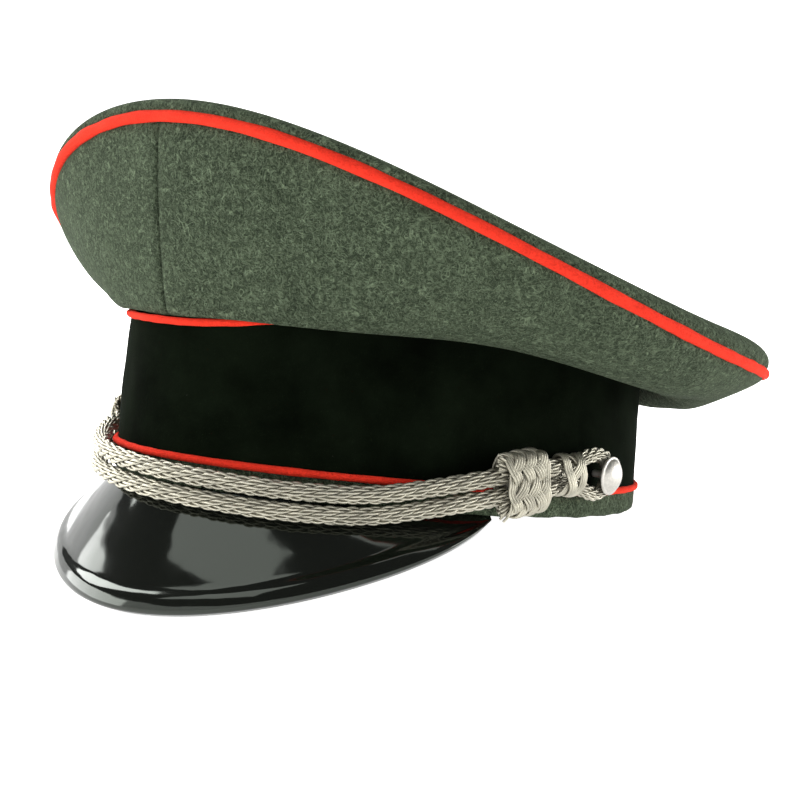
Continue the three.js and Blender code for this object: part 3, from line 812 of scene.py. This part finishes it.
def peak_face(depth, count_s=221):
    """One face of the peak. At s, from -1 at its right end to 1 at its left, it stands forward and comes
    down by amounts that fade as 1 - |s|^power, and across it a straight field with a slight bulge meets a
    raised bead at the rim. depth is how far this face lies under the outer one."""
    size = sizes()
    quarter = 0.995 * pi / 2
    s = np.sin(np.linspace(-quarter, quarter, count_s)) / sin(quarter)
    phi = s * PEAK_HALF_ANGLE
    a = np.abs(s)
    shoulder = a ** 2 * (1 - a ** 2)
    reach = PEAK_END_REACH + size.peak_reach * (1 - a ** 2.8) + SHOULDER_REACH * shoulder
    drop = (PEAK_END_DROP + PEAK_END_FALL * (1 - a ** 8) + size.peak_drop * (1 - a ** 2)
            - SHOULDER_LIFT * shoulder)
    along = (outward(phi) * reach[:, None] - UP * drop[:, None])[:, None]
    width = np.linalg.norm(along, axis=-1)
    normal = (outward(phi) * drop[:, None] + UP * reach[:, None])[:, None] / width[..., None]
    bead = np.minimum(BEAD_WIDTH, 0.4 * width) / width
    fade = np.minimum(1, width / 0.030)
    field = np.linspace(0, 1, 30) * (1 - bead)
    turn = np.linspace(0, 1, 17)[1:]
    rows = np.concatenate([field, 1 - bead + turn * bead], axis=1)
    bump = np.where(turn < 0.5, 0.5 - 0.5 * np.cos(TURN * turn), np.sqrt(np.maximum(np.sin(pi * turn), 0)))
    level = FIELD_BULGE * fade * np.sin(pi * rows) - depth * np.clip(width / 0.006, 0.3, 1)
    if depth == 0:
        level[:, len(field[0]):] += fade * BEAD_HEIGHT * bump
    start = head_point(phi, -0.0002, -0.0002)[:, None]
    root = head_point(phi, ROOT_UP, -ROOT_IN - 0.4 * depth)[:, None]
    return np.concatenate([root, start + along * rows[..., None] + normal * level[..., None]], axis=1)


class CAP_OT_peak(bpy.types.Operator):
    """Builds the lacquered peak with its raised rim"""

    bl_idname = "cap.peak"
    bl_label = "Peak"

    def execute(self, context):
        top, under = peak_face(0), peak_face(sizes().peak_wall)
        points, faces = skin(np.concatenate([top, under[:, ::-1]], axis=1))
        half = top.shape[1]
        is_under = (faces % (2 * half) > half).all(axis=1)
        make_piece("lacquered_peak", points, faces, "peak", "peak", second=("cloth_back", is_under))
        return {"FINISHED"}


# ---- chin cord

def resample(points, step):
    """Points moved along their own curve to an even spacing near step."""
    travelled = np.concatenate([[0], np.linalg.norm(np.diff(points, axis=0), axis=1).cumsum()])
    places = np.linspace(0, travelled[-1], int(travelled[-1] / step) + 1)
    return np.stack([np.interp(places, travelled, points[:, k]) for k in range(3)], axis=-1), places


def rope(route, guide, radius, lay, step):
    """Twisted rope: strands on a helix round the route, each of wires on a shorter helix the other way,
    round a plain core, whose faces come last. The guide points away from the cap, and a strand climbs as
    it goes along. Gives points, faces, uv and which faces are the core's."""
    points, travelled = resample(route, step)
    place = np.linspace(0, travelled[-1], len(guide))
    away = np.stack([np.interp(travelled, place, guide[:, k]) for k in range(3)], axis=-1)
    along = unit(change(points, 0))
    away = square_to(away, along)
    number = np.arange(STRANDS)[:, None]
    radial, aside = circling(away, np.cross(away, along), (number / STRANDS + travelled / lay) * TURN)
    turns = (np.arange(STRAND_WIRES)[:, None] / STRAND_WIRES - travelled / (lay * WIRE_LAY)) * TURN
    turns = turns + number[..., None] * STAGGER
    wire = radius * WIRE_SIZE
    wires = (points + radius * STRAND_OUT * radial)[:, None]
    wires = wires + wire * WIRE_OUT * circling(radial[:, None], aside[:, None], turns)[0]
    guides = np.repeat(radial, STRAND_WIRES, axis=0)
    laid = sweep(wires.reshape(-1, *points.shape), guides, wire, 6)
    core = sweep(points[None], away[None], radius * CORE_SIZE, CORE_SIDES)
    points, faces, uv = join([laid, core])
    return points, faces, uv, np.arange(len(faces)) >= len(laid[1])


def rope_piece(name, path, radius, node, lay, step):
    """Rope whose core takes the dark core finish, painted shade between the strands."""
    points, faces, uv, is_core = rope(*path, radius, lay, step)
    make_piece(name, points, faces, node, "cord", uv, ("shaded_core", is_core))


def cord_path(level):
    """Route of one chin cord: level is 1 for the upper cord and -1 for the lower."""
    size = sizes()
    degrees = np.linspace(CORD_ROUTE[0, 0], CORD_ROUTE[-1, 0], 400)
    height, offset = smooth_table(CORD_ROUTE, degrees).T
    phi = np.radians(degrees)
    return head_point(phi, height + level * size.cord_spacing / 2, offset), outward(phi)


class CAP_OT_chin_cords(bpy.types.Operator):
    """Builds the two twisted cords across the front"""

    bl_idname = "cap.chin_cords"
    bl_label = "Chin Cords"

    def execute(self, context):
        for name, level in (("upper", 1), ("lower", -1)):
            path, radius = cord_path(level), sizes().cord_radius
            rope_piece("cord_" + name, path, radius, "chin_cord_" + name, CORD_LAY, CORD_STEP)
        return {"FINISHED"}


def fitting(sign, degrees, height, offset, roll=0.0):
    """Middle of a side fitting, and its directions: back along the band, up, and away from the cap, with
    the first two rolled forward."""
    phi = sign * radians(degrees)
    away = outward(np.array(phi))
    back, up = circling(np.cross(UP, away) * sign, UP, np.array(roll))
    return head_point(phi, height, offset), (back, up, away)


def on_axes(axes, x, y, z):
    """Point at x, y and z along the three axes."""
    return x[..., None] * axes[0] + y[..., None] * axes[1] + z[..., None] * axes[2]


def flat_ring(w, half_height, half_thick):
    """Stadium round which a ribbon is wound: w goes from 0 to 1 from the bottom of the front face up, over
    the top, down the back and round the bottom. Gives (up, away) and the outward normal there."""
    flat = 2 * (half_height - half_thick)
    bend = pi * half_thick
    s = (w % 1.0) * 2 * (flat + bend)
    turn = (np.clip(s - flat, 0, bend) + np.clip(s - 2 * flat - bend, 0, bend)) / half_thick
    level = np.clip(s, 0, flat) - np.clip(s - flat - bend, 0, flat) - flat / 2
    out_up, out_away = np.sin(turn), np.cos(turn)
    return level + half_thick * out_up, half_thick * out_away, out_up, out_away


def woven_sleeve(centre, axes, shape, leads, bights, steps, squareness):
    """Turk's head: one ribbon of parallel wires that goes round a flat sleeve as many times as it has leads
    while it swings from side to side, over and under itself in turn. At the angle q of its swing it is at
    cos(q) + squareness cos(3q) across, and cos(leads q) high, upside down on the way back."""
    half_width, half_height, half_thick = shape
    turns = np.linspace(0, leads, steps, endpoint=False)
    swing = turns * TURN * bights / leads
    across = half_width * (np.cos(swing) + squareness * np.cos(3 * swing)) / (1 + squareness)
    height = WEAVE_LIFT * np.cos(leads * swing) * np.clip(np.sin(swing) / 0.4, -1, 1)
    up, away, out_up, out_away = flat_ring(turns, half_height, half_thick)
    dome = (1 - (up / half_height) ** 2) * (1 - (across / half_width) ** 2)
    pinch = 1 - END_PINCH * (across / half_width) ** 4
    away = away * pinch + out_away * height + WEAVE_DOME * np.maximum(out_away, 0) * dome
    middle = on_axes(axes, across, up * pinch + out_up * height, away)
    normal = on_axes(axes, 0 * across, out_up, out_away)
    beside = unit(np.cross(normal, change(middle, 0, True)))
    wire = sizes().cord_radius * RIBBON_WIRE
    order = (np.arange(RIBBON_WIRES) - (RIBBON_WIRES - 1) / 2)[:, None, None]
    arch = RIBBON_ARCH * (1 - (order / (RIBBON_WIRES / 2)) ** 2)
    paths = centre + middle + beside * order * wire * RIBBON_PITCH + normal * arch
    return sweep(paths, np.broadcast_to(normal, paths.shape), wire, 6, ring=True)


def wire_ends(centre, axes, level):
    """Cut ends of the ribbon's wires, fanned out of a slide's front end: at t along itself each one goes
    forward by its length times t and apart from its neighbours by its place in the bunch times t."""
    number = np.arange(CUT_WIRES)[:, None]
    order = (number - (CUT_WIRES - 1) / 2) / CUT_WIRES
    t = np.linspace(0, 1, 9)
    forward = 0.9 * SLIDE_SIZE[0] + CUT_LENGTH * t * (1 - 0.9 * order ** 2)
    rise = level * (CUT_RISE + CUT_CLIMB * t) + order * (CUT_SPREAD + CUT_FAN * t)
    away = CUT_AWAY + 0.0007 * np.cos(number * 2.4) + 0.0005 * np.sin(pi * t)
    paths = centre + on_axes(axes, -forward, rise, away)
    return sweep(paths, np.broadcast_to(axes[2], paths.shape), sizes().cord_radius * 0.15, 6)


def inner_sleeve(centre, axes):
    """Plain flat sleeve that fills a slide's woven one behind its gaps, painted dark as the shade seen
    through them.
    """
    half_width, half_height, half_thick = SLIDE_CORE
    up, away = flat_ring(np.linspace(0, 1, 48, endpoint=False), half_height, half_thick)[:2]
    return skin(centre + on_axes(axes, np.linspace(-1, 1, 5)[:, None] * half_width, up, away))


class CAP_OT_slide_knots(bpy.types.Operator):
    """Builds the woven slides that hold the two cords together"""

    bl_idname = "cap.slide_knots"
    bl_label = "Slide Knots"

    def execute(self, context):
        for side, (sign, slide, _, _) in SIDES.items():
            at = fitting(sign, slide, SLIDE_HEIGHT, SLIDE_OFFSET, SLIDE_LEAN)
            weave = woven_sleeve(*at, SLIDE_SIZE, 7, 5, 900, 0.08)
            points, faces, uv = join([weave, wire_ends(*at, 1), wire_ends(*at, -1)])
            make_piece("slide_weave_" + side, points, faces, "slide_knot_" + side, "cord", uv)
            # The core sleeve takes the dark core finish: painted shade behind the weave.
            make_piece("slide_core_" + side, *inner_sleeve(*at), None, "cord", kind="shaded_core")
        return {"FINISHED"}


class CAP_OT_keeper_knots(bpy.types.Operator):
    """Builds the ring knots between the slides and the buttons"""

    bl_idname = "cap.keeper_knots"
    bl_label = "Keeper Knots"

    def execute(self, context):
        for side, (sign, _, keeper, _) in SIDES.items():
            at = fitting(sign, keeper, KEEPER_HEIGHT, KEEPER_OFFSET)
            points, faces, uv = woven_sleeve(*at, KEEPER_SIZE, 3, 2, 300, 0.0)
            make_piece("keeper_weave_" + side, points, faces, "keeper_knot_" + side, "cord", uv)
        return {"FINISHED"}


def end_path(side):
    """Route of the cord's end: out of the slide, through the keeper, round the button's shank and back."""
    sign, slide, keeper, button = SIDES[side]
    route = smooth_rows(END_ROUTE, 420)
    eye_angle = np.degrees(BUTTON_EYE / sizes().head_half_length)
    degrees = np.interp(route[:, 0], [-1, 0, 1, 2], [button + eye_angle, button, keeper, slide])
    phi = sign * np.radians(degrees)
    return head_point(phi, BUTTON_HEIGHT + route[:, 1], END_OFFSET + route[:, 2]), outward(phi)


class CAP_OT_button_loops(bpy.types.Operator):
    """Builds the ends of the cord, looped round the button shanks"""

    bl_idname = "cap.button_loops"
    bl_label = "Button Loops"

    def execute(self, context):
        for side in SIDES:
            node = "button_loop_" + side
            rope_piece("cord_end_" + side, end_path(side), END_RADIUS, node, END_LAY, END_STEP)
        return {"FINISHED"}


# ---- buttons

class CAP_OT_buttons(bpy.types.Operator):
    """Builds the domed buttons with rolled rims and pebbled faces"""

    bl_idname = "cap.buttons"
    bl_label = "Buttons"

    def execute(self, context):
        r, h = (smooth_rows(BUTTON_PROFILE, 90) * [sizes().button_radius, 0.001]).T[..., None, None]
        turn = np.linspace(0, TURN, 72, endpoint=False)
        for side, (sign, _, _, button) in SIDES.items():
            centre, (back, up, away) = fitting(sign, button, BUTTON_HEIGHT, BUTTON_OFFSET)
            grid = centre + r * circling(back, up, turn)[0] + h * away
            make_piece("pebbled_button_" + side, *skin(grid), "button_" + side, "button")
        return {"FINISHED"}


# ---- stage

def direction(turn, rise):
    """Unit vector at a turn from the front toward the wearer's left and a rise over the floor."""
    return Vector((sin(turn) * cos(rise), -cos(turn) * cos(rise), sin(rise)))


def area_light(middle, name, turn, rise, distance, width, height, brightness):
    """Rectangular light that faces the cap. Its power is brightness times pi times its area."""
    data = bpy.data.lights.new(name, "AREA")
    data.shape = "RECTANGLE"
    data.size, data.size_y = width, height
    data.energy = brightness * pi * width * height
    toward = direction(radians(turn), radians(rise))
    light = bpy.data.objects.new(name, data)
    light.location = middle + toward * distance
    light.rotation_euler = toward.to_track_quat("Z", "Y").to_euler()
    bpy.context.collection.objects.link(light)


def bowl():
    """Floor turned from its rings, with a strip of faces to close its middle."""
    turn = np.linspace(0, TURN, FLOOR_SIDES, endpoint=False)
    radius, height = FLOOR_RINGS.T[..., None]
    x, y = radius * np.cos(turn), radius * np.sin(turn)
    points, faces = skin(np.stack(np.broadcast_arrays(x, y, height), -1))
    return points, faces[:1 - FLOOR_SIDES // 2]


class CAP_OT_stage(bpy.types.Operator):
    """Builds the pale floor with its raised surround, the soft lights and the camera"""

    bl_idname = "cap.stage"
    bl_label = "Stage"

    def execute(self, context):
        paper = Finish("studio_paper")
        paper.surface(Base_Color=(0.86, 0.86, 0.855), Roughness=0.9, Specular_IOR_Level=0.1,
                      Emission_Color=(1, 1, 1), Emission_Strength=FLOOR_GLOW)
        floor = mesh_object("studio_floor", *bowl(), paper.material)
        floor.data.update(calc_edges=True)

        world = bpy.data.worlds.new("studio")
        world.use_nodes = True
        background = world.node_tree.nodes["Background"].inputs
        background["Color"].default_value = (1, 1, 1, 1)
        background["Strength"].default_value = ROOM_LIGHT
        context.scene.world = world
        context.scene.view_settings.view_transform = "Standard"

        middle = Vector((sum(c) / 2 for c in zip(*cad_box)))
        for light in LIGHTS:
            area_light(middle, *light)

        data = bpy.data.cameras.new("camera")
        data.lens = CAMERA_LENS
        data.sensor_width = CAMERA_SENSOR
        camera = bpy.data.objects.new("camera", data)
        aim = Vector(stand()) + Vector((0, 0, CAMERA_AIM_HEIGHT))
        place = aim + direction(CAMERA_TURN, CAMERA_RISE) * CAMERA_DISTANCE
        look = -direction(LOOK_TURN, LOOK_DIP)
        across = Vector((cos(LOOK_TURN), sin(LOOK_TURN), 0))
        axes = Matrix((across, across.cross(look), -look)).transposed().to_4x4()
        camera.matrix_world = Matrix.Translation(place) @ axes @ Matrix.Rotation(LOOK_ROLL, 4, "Z")
        bpy.context.collection.objects.link(camera)
        context.scene.camera = camera
        return {"FINISHED"}


class CAP_PT_panel(bpy.types.Panel):
    """Sidebar panel of the cap's sizes, colours and builders"""

    bl_idname = "CAP_PT_panel"
    bl_label = "Peaked Cap"
    bl_space_type = "VIEW_3D"
    bl_region_type = "UI"
    bl_category = "Cap"

    def draw(self, context):
        for operator in BUILDERS:
            self.layout.operator(operator.bl_idname)
        for group in (context.scene.cap_sizes, context.scene.cap_colours):
            column = self.layout.column()
            for name in group.__annotations__:
                column.prop(group, name)


BUILDERS = (CAP_OT_stage, CAP_OT_wool_crown, CAP_OT_piping, CAP_OT_band, CAP_OT_peak, CAP_OT_chin_cords,
            CAP_OT_slide_knots, CAP_OT_keeper_knots, CAP_OT_button_loops, CAP_OT_buttons)
CLASSES = (CapSizes, CapColours) + BUILDERS + (CAP_PT_panel,)


def register():
    for cls in CLASSES:
        bpy.utils.register_class(cls)
    bpy.types.Scene.cap_sizes = PointerProperty(type=CapSizes)
    bpy.types.Scene.cap_colours = PointerProperty(type=CapColours)


def unregister():
    del bpy.types.Scene.cap_colours
    del bpy.types.Scene.cap_sizes
    for cls in reversed(CLASSES):
        bpy.utils.unregister_class(cls)


def main():
    register()
    for operator in BUILDERS:
        group, action = operator.bl_idname.split(".")
        getattr(getattr(bpy.ops, group), action)()


if __name__ == "__main__":
    main()
